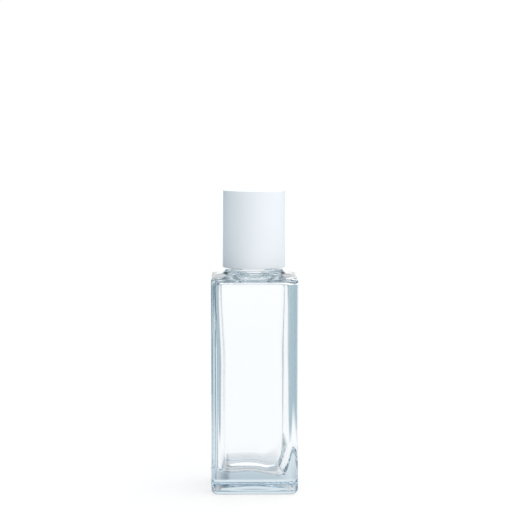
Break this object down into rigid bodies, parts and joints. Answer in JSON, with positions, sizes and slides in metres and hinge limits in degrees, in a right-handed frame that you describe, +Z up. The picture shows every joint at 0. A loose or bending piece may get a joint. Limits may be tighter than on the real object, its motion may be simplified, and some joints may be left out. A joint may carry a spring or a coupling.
{
  "type": "aftershave bottle",
  "caption": "Square clear-glass bottle for aftershave lotion, with a pouring insert in its threaded neck and a plain cylindrical screw cap.",
  "frame": {"origin": "centre of the standing face, on the axis of the neck", "axes": "+Z up the axis of the neck; X and Y square to the flat sides, with -Y out of the front"},
  "size_m": [0.042, 0.042, 0.1467],
  "materials": {
    "flint_glass": "clear, fire-polished",
    "natural_ldpe": "waxy, translucent",
    "foam_wad": "fine closed-cell foam",
    "natural_pp": "moulded, satin",
    "white_cap": "moulded, fine satin"
  },
  "bodies": {
    "bottle": {"glass_bottle": "flint_glass", "pouring_insert": "natural_ldpe"},
    "wad": {"sealing_wad": "foam_wad"},
    "cap": {"cap_inner": "natural_pp", "cap_shell": "white_cap"}
  },
  "joints": [
    {"name": "cap_lift", "type": "slide", "parent": "bottle", "child": "wad", "axis": [0, 0, 1], "range_m": [0, 0.016]},
    {"name": "cap_turn", "type": "hinge", "parent": "wad", "child": "cap", "pos_m": [0, 0, 0.115], "axis": [0, 0, 1], "range_deg": [0, 1800]}
  ],
  "couplings": [
    {"joint": "cap_lift", "follows": "cap_turn", "m_per_rad": 0.00050532}
  ]
}
